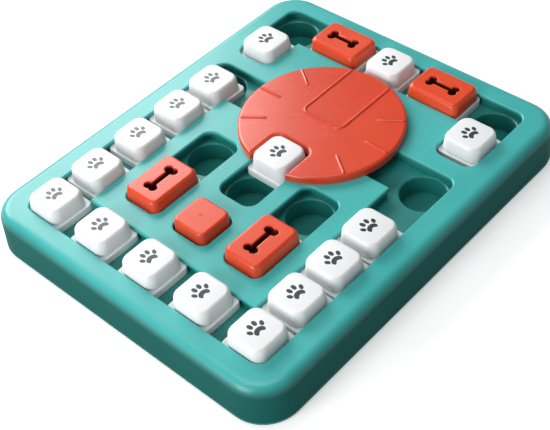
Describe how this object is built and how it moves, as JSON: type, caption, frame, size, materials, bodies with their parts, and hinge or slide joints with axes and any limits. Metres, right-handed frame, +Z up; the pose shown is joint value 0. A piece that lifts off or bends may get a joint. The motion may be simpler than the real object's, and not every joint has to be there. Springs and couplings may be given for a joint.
{
  "type": "dog puzzle feeder",
  "caption": "Rectangular treat puzzle board for dogs with sliding paw keys and bone blocks in tracks over round treat wells, a lift-out plug and a notched turning disc.",
  "frame": {"origin": "centre of the footprint at the bottom of the rubber feet", "axes": "+X along the long side towards the turning disc, +Y along the short side towards the toes of the paw prints, +Z up"},
  "size_m": [0.33, 0.27, 0.0425],
  "materials": {
    "turquoise": "satin moulded",
    "teal_floor": "satin moulded, darker",
    "teal_base": "matte moulded",
    "foot_rubber": "matte",
    "screw_steel": "zinc plated",
    "white_slider": "satin moulded",
    "white_cap": "satin moulded",
    "orange": "satin moulded",
    "orange_disc": "satin moulded"
  },
  "bodies": {
    "board": {"top_shell": "turquoise", "well_tray": "teal_floor", "base_pan": "teal_base", "rubber_feet": "foot_rubber", "case_screws": "screw_steel", "tray_screws": "screw_steel"},
    "key_left_1": {"key_left_1_slider": "white_slider", "key_left_1_cap": "white_cap"},
    "key_left_2": {"key_left_2_slider": "white_slider", "key_left_2_cap": "white_cap"},
    "key_left_3": {"key_left_3_slider": "white_slider", "key_left_3_cap": "white_cap"},
    "key_left_4": {"key_left_4_slider": "white_slider", "key_left_4_cap": "white_cap"},
    "key_left_5": {"key_left_5_slider": "white_slider", "key_left_5_cap": "white_cap"},
    "key_back_1": {"key_back_1_slider": "white_slider", "key_back_1_cap": "white_cap"},
    "key_back_2": {"key_back_2_slider": "white_slider", "key_back_2_cap": "white_cap"},
    "key_back_3": {"key_back_3_slider": "white_slider", "key_back_3_cap": "white_cap"},
    "key_back_4": {"key_back_4_slider": "white_slider", "key_back_4_cap": "white_cap"},
    "key_front_1": {"key_front_1_slider": "white_slider", "key_front_1_cap": "white_cap"},
    "key_front_2": {"key_front_2_slider": "white_slider", "key_front_2_cap": "white_cap"},
    "key_front_3": {"key_front_3_slider": "white_slider", "key_front_3_cap": "white_cap"},
    "key_outer_1": {"key_outer_1_slider": "white_slider", "key_outer_1_cap": "white_cap"},
    "key_outer_2": {"key_outer_2_slider": "white_slider", "key_outer_2_cap": "white_cap"},
    "key_outer_3": {"key_outer_3_slider": "white_slider", "key_outer_3_cap": "white_cap"},
    "key_lock": {"key_lock_slider": "white_slider", "key_lock_cap": "white_cap"},
    "bone_back": {"bone_back_slider": "white_slider", "bone_back_cap": "orange"},
    "bone_front": {"bone_front_slider": "white_slider", "bone_front_cap": "orange"},
    "bone_outer_1": {"bone_outer_1_slider": "white_slider", "bone_outer_1_cap": "orange"},
    "bone_outer_2": {"bone_outer_2_slider": "white_slider", "bone_outer_2_cap": "orange"},
    "square_plug": {"square_plug": "orange"},
    "turning_disc": {"turning_disc": "orange_disc", "pivot_clip": "white_slider", "pivot_screw": "screw_steel"}
  },
  "joints": [
    {"name": "key_left_1_slide", "type": "slide", "parent": "board", "child": "key_left_1", "axis": [0, 1, 0], "range_m": [-0.0124, 0.0004]},
    {"name": "key_left_2_slide", "type": "slide", "parent": "board", "child": "key_left_2", "axis": [0, 1, 0], "range_m": [-0.0124, 0.0124]},
    {"name": "key_left_3_slide", "type": "slide", "parent": "board", "child": "key_left_3", "axis": [0, 1, 0], "range_m": [-0.0124, 0.0124]},
    {"name": "key_left_4_slide", "type": "slide", "parent": "board", "child": "key_left_4", "axis": [0, 1, 0], "range_m": [-0.0124, 0.0124]},
    {"name": "key_left_5_slide", "type": "slide", "parent": "board", "child": "key_left_5", "axis": [0, 1, 0], "range_m": [-0.0004, 0.0124]},
    {"name": "key_back_1_slide", "type": "slide", "parent": "board", "child": "key_back_1", "axis": [1, 0, 0], "range_m": [-0.0037, 0.0062]},
    {"name": "key_back_2_slide", "type": "slide", "parent": "board", "child": "key_back_2", "axis": [1, 0, 0], "range_m": [-0.0062, 0.0052]},
    {"name": "key_back_3_slide", "type": "slide", "parent": "board", "child": "key_back_3", "axis": [1, 0, 0], "range_m": [-0.0052, 0.0022]},
    {"name": "key_back_4_slide", "type": "slide", "parent": "board", "child": "key_back_4", "axis": [1, 0, 0], "range_m": [-0.0022, 0.0118]},
    {"name": "key_front_1_slide", "type": "slide", "parent": "board", "child": "key_front_1", "axis": [1, 0, 0], "range_m": [-0.0017, 0.0012]},
    {"name": "key_front_2_slide", "type": "slide", "parent": "board", "child": "key_front_2", "axis": [1, 0, 0], "range_m": [-0.0012, 0.0012]},
    {"name": "key_front_3_slide", "type": "slide", "parent": "board", "child": "key_front_3", "axis": [1, 0, 0], "range_m": [-0.0012, 0.0603]},
    {"name": "key_outer_1_slide", "type": "slide", "parent": "board", "child": "key_outer_1", "axis": [1, 0, 0], "range_m": [-0.0024, 0.0356]},
    {"name": "key_outer_2_slide", "type": "slide", "parent": "board", "child": "key_outer_2", "axis": [0, -1, 0], "range_m": [-0.0047, 0.0077]},
    {"name": "key_outer_3_slide", "type": "slide", "parent": "board", "child": "key_outer_3", "axis": [-1, 0, 0], "range_m": [-0.0313, 0.0068]},
    {"name": "key_lock_slide", "type": "slide", "parent": "board", "child": "key_lock", "axis": [1, 0, 0], "range_m": [-0.0328, 0.0009]},
    {"name": "bone_back_slide", "type": "slide", "parent": "board", "child": "bone_back", "axis": [1, 0, 0], "range_m": [-0.0002, 0.04]},
    {"name": "bone_front_slide", "type": "slide", "parent": "board", "child": "bone_front", "axis": [1, 0, 0], "range_m": [-0.0002, 0.04]},
    {"name": "bone_outer_1_slide", "type": "slide", "parent": "board", "child": "bone_outer_1", "axis": [0, -1, 0], "range_m": [-0.0415, 0.0047]},
    {"name": "bone_outer_2_slide", "type": "slide", "parent": "board", "child": "bone_outer_2", "axis": [0, -1, 0], "range_m": [-0.0077, 0.0049]},
    {"name": "square_plug_lift", "type": "slide", "parent": "board", "child": "square_plug", "axis": [0, 0, 1], "range_m": [0, 0.03]},
    {"name": "turning_disc_pivot", "type": "hinge", "parent": "board", "child": "turning_disc", "pos_m": [0.047, 0, 0.034], "axis": [0, 0, 1], "range_deg": [-0.6, 0.6]}
  ]
}
